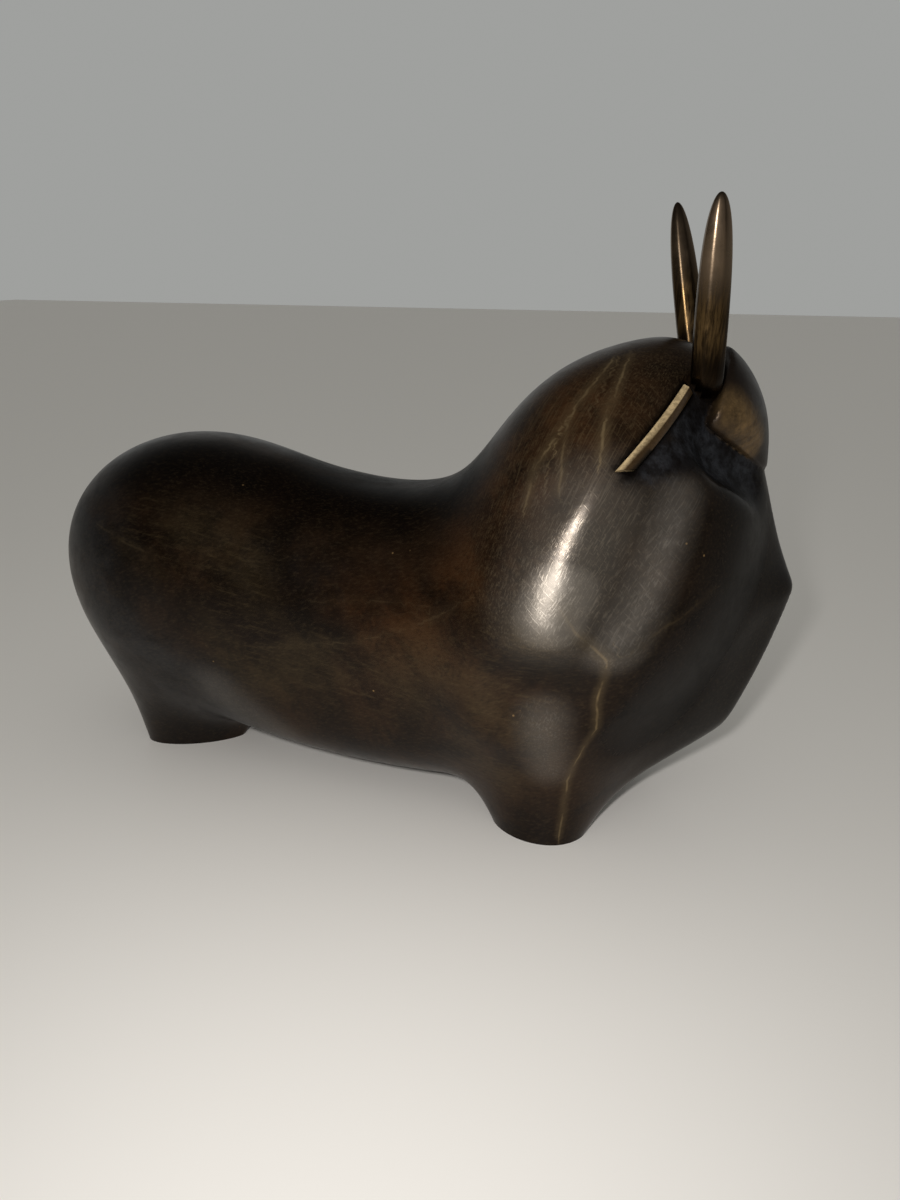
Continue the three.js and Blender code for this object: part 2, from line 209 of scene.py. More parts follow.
# Bright gold for the ears' upper facets: rubbed metal with a painted highlight.
bare_bronze_and_highlight = (0.95, 0.70, 0.38, 1)
dull_tint = (0.2, 0.19, 0.18, 1)
bump_strength = 0.14
bump_depth = 0.0005
key_power = 0.72


def mix(a, b, t):
    return a + (b - a) * t


def smooth_step(start, end, value):
    t = np.clip((value - start) / (end - start), 0, 1)
    return t * t * (3 - 2 * t)


def blend(a, b, size):
    """Joins two distances with a soft fillet."""
    nearness = np.maximum(0, size - np.abs(a - b)) / size
    return np.minimum(a, b) - size * nearness ** 3 / 6


def blend_cut(a, b, size):
    """Keeps what two distances share, with a soft edge."""
    return -blend(-a, -b, size)


def left_of(x, z, start, end):
    """Distance from a line seen from the side, positive on the left of the way it runs."""
    run = end.x - start.x
    rise = end.z - start.z
    return (run * (z - start.z) - rise * (x - start.x)) / math.hypot(run, rise)


def round_mass(x, side, z, mass):
    ahead = x - mass.x
    out = side - mass.side
    up = z - mass.z
    squareness = np.where(up > 0, mass.over, mass.under)
    across = np.abs(out / mass.width) ** squareness + np.abs(up / mass.height) ** squareness
    reach = np.hypot(ahead / mass.length, across ** (1 / squareness))
    distance = np.sqrt(ahead ** 2 + out ** 2 + up ** 2)
    return distance - distance / np.maximum(reach, 1e-6)


def rod(x, side, z, place):
    """Distance to a rod with round ends."""
    run = [b - a for a, b in zip(place.start, place.end)]
    offset = [value - a for value, a in zip((x, side, z), place.start)]
    t = np.clip(sum(a * b for a, b in zip(offset, run)) / sum(a * a for a in run), 0, 1)
    return np.sqrt(sum((a - t * b) ** 2 for a, b in zip(offset, run))) - place.radius


def leg_column(x, side, z, foot, top):
    t = np.clip(z / top.z, 0, 1)
    length = mix(foot.length, top.radius, t)
    width = mix(foot.width, top.radius, t)
    foot_side = foot.side - foot.toe_in * (x - foot.x)
    ahead = (x - mix(foot.x, top.x, t)) / length
    out = (side - mix(foot_side, top.side, t)) / width
    up = np.maximum(0, z - top.z) / top.radius
    return (np.sqrt(ahead ** 2 + out ** 2 + up ** 2) - 1) * np.minimum(length, width)


def keel_x(side, z):
    """The keel seen from the side, two slopes meeting at the prow. The corner softens off the keel."""
    above = mix(prow.x, keel_top.x, (z - prow.z) / (keel_top.z - prow.z))
    depth = (prow.z - z) / (prow.z - keel_corner.z)
    below = mix(prow.x, keel_corner.x, np.sign(depth) * np.abs(depth) ** keel_curve)
    return blend(above, below, 1 + prow_softness * side)


def chest(x, side, z):
    spread = mix(chest_low_spread, chest_high_spread, smooth_step(chest_spread_low_z, chest_spread_high_z, z))
    facet = ((x - keel_x(side, z)) * spread + side) / np.hypot(spread, 1)
    corner_side = chest_corner.side - chest_taper * np.maximum(0, chest_taper_z - z)
    flank = ((side - corner_side) * math.cos(chest_flank_angle)
             - (x - chest_corner.x) * math.sin(chest_flank_angle))
    slope = (z - chest_roof_z) * math.cos(chest_roof_angle) + side * math.sin(chest_roof_angle)
    roof = blend_cut(slope, z - chest_top_z, chest_rounding)
    under_slope = (keel_corner.z - chest_arch.z) / keel_corner.x
    arch_slope = chest_arch.z / chest_arch.side
    under_z = chest_arch.z + under_slope * x - arch_slope * side
    under = (under_z - z) / math.sqrt(1 + under_slope ** 2 + arch_slope ** 2)
    back = np.maximum(chest_rear_x - x, left_of(x, z, chest_back_low, chest_back_high))
    heel = left_of(x, z, heel_low, heel_high)
    sides = blend_cut(facet, flank, chest_corner_rounding)
    below = blend_cut(under, heel, chest_rounding)
    ends = blend_cut(roof, blend_cut(below, back, chest_rounding), chest_rounding)
    return blend_cut(sides, ends, chest_rounding)


def straight_body(x, side, z):
    """The body as it would be with its head straight, without the face."""
    distance = blend(round_mass(x, side, z, rump), round_mass(x, side, z, barrel), trunk_blend)
    leaning_x = x - shoulder_lean * (z - shoulder.z)
    distance = blend(distance, round_mass(leaning_x, side, z, shoulder), shoulder_blend)
    distance = blend(distance, round_mass(x, side, z, neck), neck_blend)
    distance = blend(distance, round_mass(x, side, z, poll), poll_blend)
    distance = blend(distance, chest(x, side, z), chest_blend)
    distance = blend_cut(distance, -round_mass(x, side, z, throat_hollow), hollow_blend)
    for groove in grooves:
        distance = blend_cut(distance, -rod(x, side, z, groove), groove.softness)
    distance = blend(distance, leg_column(x, side, z, front_leg, front_leg_top), front_leg_blend)
    gap = (rear_gap.side - rear_gap.slope * z - side) / math.hypot(1, rear_gap.slope)
    rear_column = blend_cut(leg_column(x, side, z, rear_leg, rear_leg_top), gap, rear_gap.rounding)
    return blend(distance, rear_column, rear_leg_blend)


def face_shield(x, side, z):
    width = mix(muzzle.width_share, 1, smooth_step(muzzle.z, cheek_z, z))
    front = round_mass(x, side / width, z, face) * width
    jaw = left_of(x, z, jaw_front, jaw_back)
    back = left_of(x, z, face_back_low, face_back_high)
    return blend_cut(front, blend_cut(jaw, back, face_rounding), face_rounding)


def loft(rings):
    """Points and faces of a solid through rings of points, flat at both ends."""
    sides = len(rings[0])
    faces = [[row * sides + n, row * sides + (n + 1) % sides,
              (row + 1) * sides + (n + 1) % sides, (row + 1) * sides + n]
             for row in range(len(rings) - 1) for n in range(sides)]
    last = (len(rings) - 1) * sides
    faces += [list(range(sides))[::-1], list(range(last, last + sides))]
    return np.concatenate(rings), faces


def horn(hand):
    """A horn: a blunt tapered bar with eight soft lengthwise facets."""
    base_x, tip_x = near_horn_x if hand < 0 else far_horn_x
    rings = []
    angles = np.arange(horn_sides) / horn_sides * 2 * math.pi
    facet = 2 * math.pi / horn_facets
    flat = math.cos(facet / 2) / np.cos((angles + facet / 2) % facet - facet / 2)
    radius = mix(1, flat, horn_facet_depth)
    for row in range(horn_rings):
        t = math.sin(row / (horn_rings - 1) * horn_tip_share * math.pi / 2)
        thickness = math.sqrt(1 - t ** horn_taper)
        tuck = horn_root_tuck * max(0, 1 - t / horn_root_share) ** 2
        side = mix(horn_base.side, horn_tip.side, t) - tuck
        rings.append(np.stack([
            mix(base_x, tip_x, t) + horn_half_length * thickness * radius * np.cos(angles),
            hand * side + horn_half_width * thickness * radius * np.sin(angles),
            np.full(horn_sides, mix(horn_base.z, horn_tip.z, t))], axis=1))
    return loft(rings)


def ear_frame():
    """The ear's ends on the skin and its directions along, outward and upward, on the bull's left."""
    root = np.array([ear_root.x, ear_root.side, ear_root.z])
    tip = np.array([ear_tip.x, ear_tip.side, ear_tip.z])
    along = (tip - root) / np.linalg.norm(tip - root)
    out = np.array([ear_out.x, ear_out.side, ear_out.z])
    out = out - along * (out @ along)
    out = out / np.linalg.norm(out)
    ends = onto_surface(skin_field, np.array([root, tip]), rounds=12)
    return ends, along, out, -np.cross(along, out)


def ear_middle(t, ends, out):
    return ends[0] + np.multiply.outer(t, ends[1] - ends[0]) + np.multiply.outer(ear_bow * 4 * t * (1 - t), out)


def ear(hand):
    """An ear: a slim bar laid back along the head, with a ridge along its upper side."""
    ends, along, out, upper = ear_frame()
    rings = []
    for row in range(ear_rings):
        t = row / (ear_rings - 1)
        half_width = mix(ear_root.half_width, ear_tip.half_width, t)
        ring = []
        for across, proud in ear_section:
            cut = ear_tip_cut * (across - 1) * half_width * t
            ring.append(ear_middle(t, ends, out) + upper * across * half_width + out * proud + along * cut)
        rings.append(np.array(ring))
    points, faces = loft(rings)
    points[:, 1] *= hand
    return points, faces if hand < 0 else [face[::-1] for face in faces]


def turn_share(x, z):
    return smooth_step(turn_start.x, turn_end.x, x) * smooth_step(turn_start.z, turn_end.z, z)


def turned(points):
    """Turns points of the straight bull to where they are with the head turned."""
    x, y, z = points.T
    turn = head_turn * turn_share(x, z)
    ahead = x - turn_pivot_x
    return np.stack([turn_pivot_x + ahead * np.cos(turn) - y * np.sin(turn),
                     y * np.cos(turn) + ahead * np.sin(turn), z], axis=1)


def skin_field(x, y, z):
    """Distance to the bull with its head straight, without its horns and ears, in millimetres."""
    distance = straight_body(x, np.hypot(y, keel_rounding), z)
    distance = blend(distance, face_shield(x, np.hypot(y, face_keel_rounding), z), face_fillet)
    return np.maximum(distance, -foot_allowance - z)


def grid_line(low, turn_point, high, coarse, fine):
    """Grid places from low to high, closer together beyond the turn point."""
    rough = np.arange(low, turn_point, coarse)
    return np.concatenate([rough, np.arange(rough[-1] + coarse, high + fine, fine)])


def both_sides(half):
    return np.concatenate([-half[::-1], half])


def grid_values(field, lines):
    """The field on the half of a grid with y above 0, exact near the surface, then mirrored."""
    coarse_step = 4
    half = lines[1][len(lines[1]) // 2:]
    grid = [lines[0], half, lines[2]]
    coarse = field(*np.meshgrid(*[line[::coarse_step] for line in grid], indexing="ij"))
    values = coarse
    for axis, line in enumerate(grid):
        values = np.repeat(values, coarse_step, axis=axis).take(range(len(line)), axis=axis)
    near = np.abs(values) < 2.2 * coarse_step * max(np.diff(line).max() for line in grid)
    place = np.meshgrid(*grid, indexing="ij")
    values[near] = field(*[part[near] for part in place])
    return np.concatenate([values[:, ::-1], values], axis=1)


def onto_surface(field, points, rounds=3):
    """Moves points onto the surface where the field is zero, along the field's slope."""
    step = 0.02
    for _ in range(rounds):
        value = field(*points.T)
        slope = np.stack([(field(*(points + step * axis).T) - value) / step for axis in np.eye(3)], axis=1)
        size = np.maximum((slope ** 2).sum(axis=1), 0.05)
        move = slope * (value / size)[:, None]
        reach = np.linalg.norm(move, axis=1, keepdims=True)
        points = points - move * np.minimum(1, 1.5 / np.maximum(reach, 1e-9))
    return points


def surface_of(field, lines):
    """Points and quads of a field's surface: a point in each crossed cell, a quad on each crossed edge."""
    values = grid_values(field, lines)
    inside = values < 0
    shape = tuple(count - 1 for count in values.shape)
    total = np.zeros(shape + (3,))
    count = np.zeros(shape)
    for axis in range(3):
        near = [slice(None)] * 3
        far = [slice(None)] * 3
        near[axis] = slice(0, -1)
        far[axis] = slice(1, None)
        start, end = values[tuple(near)], values[tuple(far)]
        at = np.argwhere((start < 0) != (end < 0))
        from_value = start[tuple(at.T)]
        share = from_value / (from_value - end[tuple(at.T)])
        place = np.stack([line[index] for line, index in zip(lines, at.T)], axis=1)
        place[:, axis] += share * np.diff(lines[axis])[at[:, axis]]
        others = [n for n in range(3) if n != axis]
        for a in (0, 1):
            for b in (0, 1):
                cell = at.copy()
                cell[:, others[0]] -= a
                cell[:, others[1]] -= b
                np.add.at(total, tuple(cell.T), place)
                np.add.at(count, tuple(cell.T), 1)
    cells = count > 0
    number = np.full(shape, -1)
    number[cells] = np.arange(cells.sum())
    points = onto_surface(field, total[cells] / count[cells][:, None])

    quads = []
    for axis in range(3):
        near = [slice(1, -1)] * 3
        far = [slice(1, -1)] * 3
        far[axis] = slice(2, None)
        start, end = inside[tuple(near)], inside[tuple(far)]
        at = np.argwhere(start != end) + 1
        outward = start[tuple((at - 1).T)]
        u = np.eye(3, dtype=int)[(axis + 1) % 3]
        v = np.eye(3, dtype=int)[(axis + 2) % 3]
        ring = np.stack([number[tuple(place.T)] for place in (at, at - u, at - u - v, at - v)], axis=1)
        quads.append(np.where(outward[:, None], ring, ring[:, ::-1]))
    return points, np.concatenate(quads)


def along_line(points, start, end):
    """Offset of each point from the nearest place on a line."""
    start, end = np.array(start, float), np.array(end, float)
    run = end - start
    t = np.clip((points - start) @ run / (run @ run), 0, 1)
    return points - start - t[:, None] * run, run


def near_line(points, places, reach, fade):
    """How near points are to a broken line, 1 on it and 0 beyond its reach."""
    best = np.zeros(len(points))
    for start, end in zip(places, places[1:]):
        away = np.linalg.norm(along_line(points, start, end)[0], axis=1)
        best = np.maximum(best, smooth_step(reach, reach - fade, away))
    return best


def rubbed_line_values(points):
    """Signed distance from the nearest rubbed line, in line widths, and how strong that line is."""
    signed = np.full(len(points), 99.0)
    strength = np.zeros(len(points))
    for share, width, places in rubbed_lines:
        for start, end in zip(places, places[1:]):
            offset, run = along_line(points, start, end)
            away = np.linalg.norm(offset, axis=1) / width
            nearer = away < np.abs(signed)
            hand = np.where(offset @ np.cross(run, line_outward) > 0, 1, -1)
            signed = np.where(nearer, away * hand, signed)
            strength = np.where(nearer, share * smooth_step(6, 3.5, away), strength)
    return signed, strength


def ear_values(points, proud):
    """The ear, its bright upper facet (rubbed gold with a painted highlight), the painted shadow in the groove
    beside it, and what lies below its line.
    """
    ends, along, out, upper = ear_frame()
    t = (points - ends[0]) @ along / np.linalg.norm(ends[1] - ends[0])
    offset = points - ear_middle(np.clip(t, 0, 1), ends, out)
    across = offset @ upper / mix(ear_root.half_width, ear_tip.half_width, np.clip(t, 0, 1))
    height = offset @ out
    beside = (t > -0.05) & (t < 1.05) & (height < 3.6) & (height > -4)
    on_ear = beside & (np.abs(across) < 1.1) & (proud > 0.25)
    # The upper facet: rubbed gold, with a painted highlight.
    bright = on_ear * smooth_step(0.01, 0.14, across)
    # Painted shadow along the groove beside the ear.
    groove = beside * (proud < 0.25) * smooth_step(2.2, 1.2, np.abs(across)) * smooth_step(1, 0.94, t)
    return on_ear, bright, groove, smooth_step(0.5, -0.5, across)


def wear_of(points):
    """How worn, rubbed or dull the skin is at each point of the straight bull, and where highlights, reflections
    and shade are painted on it.
    """
    x, y, z = points.T
    sided = np.stack([x, np.abs(y), z], axis=1)
    proud = skin_field(x, y, z)
    on_ear, bright, groove, below_ear = ear_values(sided, proud)
    limb = (z > 120) * (proud > 0.25)
    on_horn = limb * ~on_ear
    side = np.hypot(y, face_keel_rounding)
    on_face = smooth_step(0.5, 0.1, face_shield(x, side, z)) * (1 - limb)
    signed, strength = rubbed_line_values(sided)
    far_side = np.where(y > 0, 0.55, 1)
    skin = (1 - limb) * (1 - on_face)
    recess = np.maximum(near_line(sided, recess_line, 18, 12), near_line(sided, recess_edge, 11, 8))
    return {
        "bright": bright,
        "ear_low": on_ear * (1 - bright),
        "horn": on_horn * 1.0,
        "horn_height": smooth_step(162, 214, z) * np.where(y > 0, 0.85, 1),
        # Painted shadow in the groove beside the ear.
        "groove": groove * 1.0,
        "face": on_face,
        # Gold cheek patch: gold wear with a painted highlight.
        "cheek": near_line(sided, cheek_line, 10.5, 10) * on_face,
        "recess": recess * below_ear * skin,
        "hatched": near_line(sided, neck_line, 34, 22) * skin,
        # Painted highlights on the shoulder and the chest ridge.
        "streak": near_line(sided, streak_line, 14, 14) * skin,
        "halo": near_line(sided, halo_line, 25, 25) * skin,
        "ridge": near_line(sided, ridge_line, 13, 13) * skin,
        "warm": near_line(sided, warm_line, 29, 29) * far_side,
        "olive": near_line(sided, olive_line, 24, 20) * far_side,
        # Duller, rougher patina on the rump and haunch, greyed as a painted floor reflection.
        "dull_and_reflection": near_line(sided, dull_line, 34, 28),
        "crown": near_line(sided, crown_line, 26, 18),
        "chest": near_line(sided, chest_line, 40, 22) * skin,
        # Painted shade on the front towards the keel.
        "keel": near_line(sided, keel_line, 80, 55) * skin,
        "saddle": near_line(sided, saddle_line, 34, 22),
        # Painted floor reflections on the front leg and in the haunch crease.
        "lower": np.maximum(0.9 * near_line(sided, leg_line, 13, 13), 0.6 * near_line(sided, crease_line, 16, 16)),
        "line_away": signed,
        "line": strength * far_side * skin,
    }


def new_piece(name, points, faces):
    mesh = bpy.data.meshes.new(name)
    mesh.from_pydata((points * MM).tolist(), [], [list(face) for face in faces])
    piece = bpy.data.objects.new(name, mesh)
    bpy.context.scene.collection.objects.link(piece)
    return piece


def joined(piece, others):
    """Joins closed pieces into one closed skin."""
    for other in others:
        modifier = piece.modifiers.new("join", "BOOLEAN")
        modifier.operation = "UNION"
        modifier.solver = "MANIFOLD"
        modifier.object = other
    whole = bpy.data.meshes.new_from_object(piece.evaluated_get(bpy.context.evaluated_depsgraph_get()))
    piece.modifiers.clear()
    whole.materials.clear()
    piece.data = whole
    for other in others:
        bpy.data.objects.remove(other)
    return piece


def make_bull():
    body_cell, head_cell = ((1.6, 0.95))
    lines = [grid_line(-240, 20, 92, body_cell, head_cell),
             both_sides(np.arange(0.5, 74 / body_cell) * body_cell),
             grid_line(-14, 126, 200, body_cell, head_cell)]
    points, quads = surface_of(skin_field, lines)
    piece = new_piece("bull_skin", points, quads)
    parts = [new_piece("horn", *horn(hand)) for hand in (-1, 1)]
    parts += [new_piece("ear", *ear(hand)) for hand in (-1, 1)]
    joined(piece, parts)

    mesh = piece.data
    points = np.empty(len(mesh.vertices) * 3)
    mesh.vertices.foreach_get("co", points)
    straight = points.reshape(-1, 3) / MM
    for name, values in wear_of(straight).items():
        mesh.attributes.new(name, "FLOAT", "POINT").data.foreach_set("value", values)
    points = turned(straight)
    middle = (points[:, :2].min(axis=0) + points[:, :2].max(axis=0)) / 2
    mesh.vertices.foreach_set("co", ((points - [*middle, 0]) * MM * fine_scale).ravel())
    work = bmesh.new()
    work.from_mesh(mesh)
    everything = work.verts[:] + work.edges[:] + work.faces[:]
    cut = bmesh.ops.bisect_plane(work, geom=everything, plane_co=(0, 0, 0), plane_no=(0, 0, 1), clear_inner=True)
    rim = [part for part in cut["geom_cut"] if isinstance(part, bmesh.types.BMEdge)]
    bmesh.ops.contextual_create(work, geom=rim)
    for one in work.faces:
        one.smooth = True
    work.to_mesh(mesh)
    work.free()
    mesh.set_sharp_from_angle(angle=sharp_angle)
    return piece, middle


class Shading:
    """A material's node tree, built one node at a time. A number, colour or socket feeds each input."""

    def __init__(self, name):
        self.material = bpy.data.materials.new(name)
        self.material.use_nodes = True
        self.tree = self.material.node_tree
        self.shader = self.tree.nodes["Principled BSDF"]

    def feed(self, socket, value):
        if isinstance(value, bpy.types.NodeSocket):
            self.tree.links.new(value, socket)
        else:
            socket.default_value = value

    def node(self, kind, output=0, settings=(), **inputs):
        made = self.tree.nodes.new("ShaderNode" + kind)
        for name, value in dict(settings).items():
            setattr(made, name, value)
        for name, value in inputs.items():
            self.feed(made.inputs[int(name[1:]) if name[1:].isdigit() else name.replace("_", " ")], value)
        return made.outputs[output]

    def math(self, operation, a, b=0):
        return self.node("Math", settings={"operation": operation}, i0=a, i1=b)

    def between(self, value, low, high, out_low=0, out_high=1):
        """A value's place between two limits, eased at both ends."""
        return self.node("MapRange", settings={"interpolation_type": "SMOOTHSTEP"}, Value=value,
                         From_Min=low, From_Max=high, To_Min=out_low, To_Max=out_high)

    def noise(self, place, scale, detail=4, roughness=0.55, distortion=0):
        return self.node("TexNoise", Vector=place, Scale=scale, Detail=detail, Roughness=roughness,
                         Distortion=distortion)

    def over(self, colour, other, share):
        return self.node("Mix", output=2, settings={"data_type": "RGBA"}, Factor=share, i6=colour, i7=other)

    def attribute(self, name):
        return self.node("Attribute", output=2, settings={"attribute_name": name})

    def stretched(self, place, scale, turn=(0, 0, 0)):
        """Coordinates turned, then drawn out along each axis by its scale."""
        return self.node("Mapping", settings={"vector_type": "TEXTURE"}, Vector=place, Scale=scale, Rotation=turn)

    def times(self, *factors):
        product = factors[0]
        for factor in factors[1:]:
            product = self.math("MULTIPLY", product, factor)
        return product


def patina(use, place, marks):
    """Colour of the waxed skin: brown and black clouds, thinner patina and rubbed lines, with a painted floor
    reflection on the rump and haunch and painted shade towards the keel.
    """
    wear = use.attribute
    clouds = use.between(use.noise(place, 15, detail=6, roughness=0.6, distortion=0.5), 0.36, 0.64)
    drift = use.between(use.noise(use.stretched(place, (1.6, 1, 0.8), (0, 0.5, 0)), 42, detail=6), 0.36, 0.66)
    colour = use.over(black_patina_and_shade, patina_brown, use.between(clouds, 0, 1, 0.25, 0.95))
    colour = use.over(colour, patina_red, use.times(wear("warm"), use.between(drift, 0, 1, 0.2, 0.72)))
    colour = use.over(colour, patina_olive, use.times(wear("olive"), drift, 0.27))
    # Grey over the rump and haunch: duller patina with a painted floor reflection.
    colour = use.over(colour, grey_patina_and_reflection, use.times(wear("dull_and_reflection"), use.between(drift, 0, 1, 0.9, 0.4)))
    colour = use.over(colour, patina_chest, use.times(wear("chest"), 0.8))
    # Painted shade: the front darkens towards the keel.
    colour = use.over(colour, keel_painted_shade, wear("keel"))
    colour = use.over(colour, black_patina_and_shade, use.times(wear("crown"), 0.85))
    blots = use.between(use.noise(place, 52, detail=8, roughness=0.7, distortion=0.4), 0.48, 0.64)
    colour = use.over(colour, black_patina_and_shade, use.times(blots, 0.5))
    grained = use.noise(use.stretched(place, (9, 1, 1), (0, 0.15, 0)), 620, detail=4, roughness=0.65)
    colour = use.over(colour, patina_olive, use.times(use.between(grained, 0.5, 0.72), use.attribute("olive"), 0.3))
    colour = use.over(colour, patina_tan, use.times(wear("hatched"), marks["hatch"], 0.26))
    colour = use.over(colour, patina_olive, use.times(wear("hatched"), drift, 0.07))
    grain = use.noise(use.stretched(place, (2.5, 1, 1), (0, -0.3, 0)), 1100, detail=4, roughness=0.7)
    colour = use.over(colour, patina_tan, use.between(grain, 0.48, 0.72, 0, 0.085))
    colour = use.over(colour, black_patina_and_shade, use.between(grain, 0.48, 0.3, 0, 0.4))
    colour = use.over(colour, patina_tan, marks["line"])
    colour = use.over(colour, gold_patina_and_highlight, use.times(marks["speck"], 0.8))
    return colour


def metal(use, place, colour, marks):
    """The face with its gold cheek (gold wear and a painted highlight), the recess, the painted shadow beside the
    ears, the horns, and the ears, whose bright upper facets carry a painted highlight, over the skin's colour.
    """
    wear = use.attribute
    colour = use.over(colour, patina_chest, use.times(wear("face"), 0.75))
    # The gold cheek patch: gold wear with a painted highlight on the convex cheek.
    patchy = use.times(wear("cheek"), use.between(marks["pits"], 0, 1, 0.72, 1))
    patchy = use.times(patchy, use.between(use.noise(place, 110, detail=7, roughness=0.7), 0.34, 0.6, 0.35, 1))
    colour = use.over(colour, gold_patina_and_highlight, use.times(patchy, 0.75))
    dapple = use.between(use.noise(place, 330, detail=6, roughness=0.65), 0.36, 0.62, 0.35, 1)
    dapple = use.times(dapple, use.between(use.noise(place, 80, detail=4), 0.36, 0.6, 0.25, 1))
    recess = use.over(black_patina_and_shade, patina_blue, dapple)
    colour = use.over(colour, recess, use.times(wear("recess"), 0.9))
    # Painted shadow in the groove beside each ear.
    colour = use.over(colour, black_patina_and_shade, wear("groove"))
    lengthwise = use.noise(use.stretched(place, (1, 1, 70)), 1300, detail=4)
    golden = use.between(lengthwise, 0.36, 0.66, 0.1, 0.66)
    horn = use.over(horn_low, horn_high, use.between(wear("horn_height"), 0.45, 1))
    golden = use.times(golden, use.between(wear("horn_height"), 0.06, 0.3, 0.05, 1))
    horn = use.over(horn, gold_patina_and_highlight, use.times(golden, use.between(wear("horn_height"), 0.4, 0.85, 0.8, 0.15)))
    colour = use.over(colour, horn, wear("horn"))
    worn = use.between(use.noise(place, 640, detail=6, roughness=0.7), 0.4, 0.58, 0.62, 1)
    colour = use.over(colour, use.over(patina_brown, gold_patina_and_highlight, use.times(worn, 0.2)), wear("ear_low"))
    # The ears' upper facets: rubbed gold, brightened as a painted highlight.
    return use.over(colour, bare_bronze_and_highlight, use.times(wear("bright"), worn))


def bronze_material():
    """Dark waxed bronze, rubbed to the metal on the ears, the horns and a few lines, with highlights and floor
    reflections painted as lighter, partly polished metal on the shoulder, chest ridge, front leg and haunch crease.
    """
    use = Shading("bronze")
    wear = use.attribute
    place = use.node("TexCoord", output=3)
    mottle = use.between(use.noise(place, 120, detail=5, roughness=0.7), 0.3, 0.75)
    pits = use.between(use.noise(place, 460, detail=3), 0.35, 0.65)
    strokes = use.noise(use.stretched(place, (1, 1, 55), (math.radians(-33), math.radians(23), 0)), 1900, detail=3)
    crossing = use.noise(use.stretched(place, (1, 1, 50), (math.radians(-8), math.radians(-48), 0)), 1700, detail=3)
    hatch = use.math("MAXIMUM", use.between(strokes, 0.46, 0.74), use.between(crossing, 0.52, 0.78))
    wander = use.math("MULTIPLY", use.math("SUBTRACT", use.noise(place, 62, detail=3), 0.5), 3.4)
    away = use.math("ABSOLUTE", use.math("ADD", wear("line_away"), wander))
    broken = use.between(use.noise(place, 85, detail=3), 0.36, 0.58, 0.15, 1)
    line = use.times(use.between(away, 0, 0.95, 1, 0), broken, wear("line"))
    halo = use.times(use.between(away, 0, 3.5, 0.28, 0), wear("line"))
    speck = use.node("TexVoronoi", Vector=place, Scale=190)
    rare = use.between(use.noise(place, 30, detail=2), 0.63, 0.67)
    marks = {
        "hatch": hatch,
        "pits": pits,
        "line": use.math("MAXIMUM", line, halo),
        "speck": use.times(use.between(speck, 0.04, 0.1, 1, 0), rare, use.math("SUBTRACT", 1, wear("horn"))),
    }
    colour = metal(use, place, patina(use, place, marks), marks)

    # Painted highlights and floor reflections: lighter, partly polished metal where the streak, halo, ridge and
    # lower marks lie.
    brushed = use.between(hatch, 0, 1, 0.6, 1)
    streak = wear("streak")
    halo = use.times(use.math("MAXIMUM", wear("halo"), wear("ridge")), 0.27)
    halo = use.math("MAXIMUM", halo, use.times(wear("lower"), 0.23))
    covered = use.math("MAXIMUM", wear("groove"), wear("recess"))
    polish_and_highlight = use.times(use.math("MAXIMUM", streak, halo), brushed, use.math("SUBTRACT", 1, covered))
    colour = use.over(colour, rubbed_bronze_and_highlight, polish_and_highlight)
    metallic = use.math("MAXIMUM", wear("horn"), use.between(polish_and_highlight, 0, 0.6, 0.5, 0.9))
    rough = use.between(mottle, 0, 1, 0.29, 0.37)
    rough = use.math("ADD", rough, use.times(wear("recess"), 0.14))
    rough = use.math("ADD", rough, use.times(wear("dull_and_reflection"), 0.08))
    rough = use.math("ADD", rough, use.times(wear("face"), 0.07))
    rough = use.math("ADD", rough, use.times(wear("bright"), 0.1))
    rough = use.math("SUBTRACT", rough, use.times(wear("horn"), 0.02))
    rough = use.math("ADD", rough, use.times(wear("streak"), 0.13))

    height = use.math("ADD", use.times(hatch, wear("hatched"), 0.3), use.times(mottle, 0.4))
    height = use.math("ADD", height, use.times(pits, wear("recess"), 2.6))
    height = use.math("ADD", height, use.times(pits, wear("cheek"), 1.2))
    bump = use.node("Bump", Height=height, Strength=bump_strength, Distance=bump_depth)

    use.feed(use.shader.inputs["Base Color"], colour)
    use.feed(use.shader.inputs["Metallic"], metallic)
    use.feed(use.shader.inputs["Roughness"], rough)
    use.feed(use.shader.inputs["Normal"], bump)
    matt = use.math("MAXIMUM", use.math("MAXIMUM", wear("chest"), wear("recess")), wear("saddle"))
    use.feed(use.shader.inputs["Specular Tint"], use.over((1, 1, 1, 1), dull_tint, matt))
    use.shader.inputs["Specular IOR Level"].default_value = 0.3
    return use.material


bull, middle = make_bull()
bull.data.materials.append(bronze_material())
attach(bull, "root")
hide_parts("bull")


def add_stage():
    bpy.ops.mesh.primitive_plane_add(size=6, location=(0, 0, 0))
    floor = bpy.context.object
    floor.name = "floor"
    material = bpy.data.materials.new("floor")
    material.use_nodes = True
    shader = material.node_tree.nodes["Principled BSDF"]
    shader.inputs["Base Color"].default_value = (0.86, 0.815, 0.76, 1)
    shader.inputs["Roughness"].default_value = 0.5
    floor.data.materials.append(material)


# Camera: where the photograph was taken from, by its perspective.
image_width = 900
image_height = 1200
focal_pixels = 870
sensor = 36
camera_place = Vector((48.6 - middle[0], -311.8 - middle[1], 205)) * MM
camera_azimuth = math.radians(18)
camera_pitch = math.radians(21.9)


def add_camera():
    data = bpy.data.cameras.new("camera")
    data.sensor_fit = "VERTICAL"
    data.sensor_height = sensor
    data.lens = focal_pixels / image_height * sensor
    camera = bpy.data.objects.new("camera", data)
    camera.location = camera_place
    camera.rotation_euler = (math.pi / 2 - camera_pitch, 0, camera_azimuth)
    bpy.context.scene.collection.objects.link(camera)
    bpy.context.scene.camera = camera
    return camera


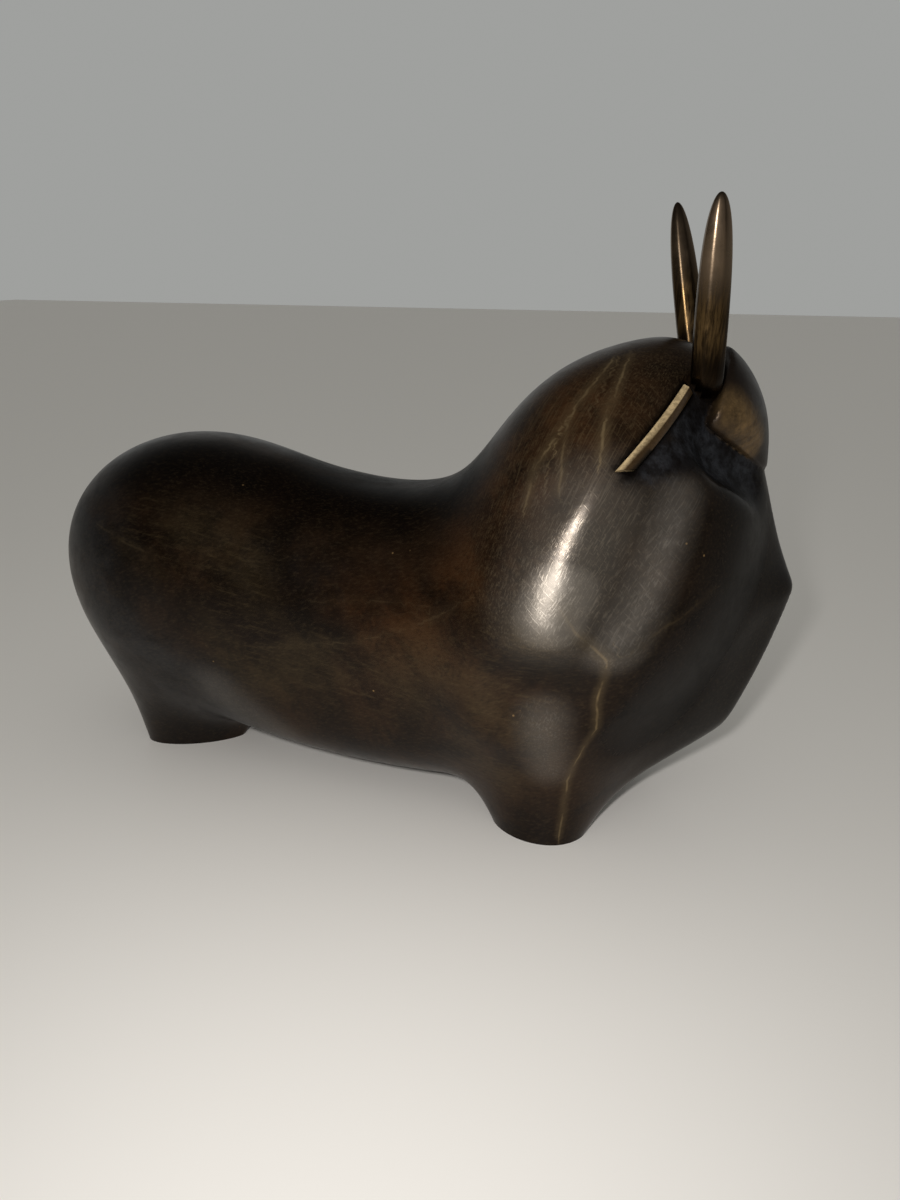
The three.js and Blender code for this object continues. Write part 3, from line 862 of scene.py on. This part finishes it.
def add_light(name, place, target, size, power):
    data = bpy.data.lights.new(name, "AREA")
    data.size = size
    data.energy = power
    light = bpy.data.objects.new(name, data)
    light.location = place
    light.rotation_euler = (Vector(target) - Vector(place)).to_track_quat("-Z", "Y").to_euler()
    bpy.context.scene.collection.objects.link(light)


add_stage()
camera = add_camera()
aim = (-0.01, 0, 0.09)
right = Vector((math.cos(camera_azimuth), math.sin(camera_azimuth), 0))
add_light("key", camera_place - right * 0.029 + Vector((0, 0, 0.021)), aim, 0.02, key_power)


def add_world():
    """A pale studio: grey to the eye, dimmer in reflections and darkest on the side of the lens."""
    world = bpy.data.worlds.new("world")
    world.use_nodes = True
    tree = world.node_tree
    background = tree.nodes["Background"]
    coordinates = tree.nodes.new("ShaderNodeTexCoord")
    apart = tree.nodes.new("ShaderNodeSeparateXYZ")
    tree.links.new(coordinates.outputs["Generated"], apart.inputs[0])
    depth = tree.nodes.new("ShaderNodeMapRange")
    depth.inputs["From Min"].default_value = -0.25
    depth.inputs["From Max"].default_value = 0.75
    tree.links.new(apart.outputs["Y"], depth.inputs["Value"])
    ceiling = tree.nodes.new("ShaderNodeMapRange")
    ceiling.interpolation_type = "SMOOTHSTEP"
    ceiling.inputs["From Min"].default_value = 0.1
    ceiling.inputs["From Max"].default_value = 0.7
    ceiling.inputs["To Min"].default_value = 1
    ceiling.inputs["To Max"].default_value = 0.05
    tree.links.new(apart.outputs["Z"], ceiling.inputs["Value"])
    share = tree.nodes.new("ShaderNodeMath")
    share.operation = "MULTIPLY"
    tree.links.new(depth.outputs["Result"], share.inputs[0])
    tree.links.new(ceiling.outputs["Result"], share.inputs[1])
    room = tree.nodes.new("ShaderNodeMix")
    room.data_type = "RGBA"
    room.inputs[6].default_value = room_dark
    room.inputs[7].default_value = room_pale
    tree.links.new(share.outputs[0], room.inputs["Factor"])
    ray = tree.nodes.new("ShaderNodeLightPath")
    seen = tree.nodes.new("ShaderNodeMix")
    seen.data_type = "RGBA"
    seen.inputs[6].default_value = room_pale
    tree.links.new(room.outputs[2], seen.inputs[7])
    tree.links.new(ray.outputs["Is Glossy Ray"], seen.inputs["Factor"])
    tree.links.new(seen.outputs[2], background.inputs["Color"])
    bpy.context.scene.world = world


room_pale = (0.35, 0.355, 0.345, 1)
room_dark = (0.02, 0.02, 0.02, 1)
add_world()
bpy.context.scene.view_settings.view_transform = "Standard"
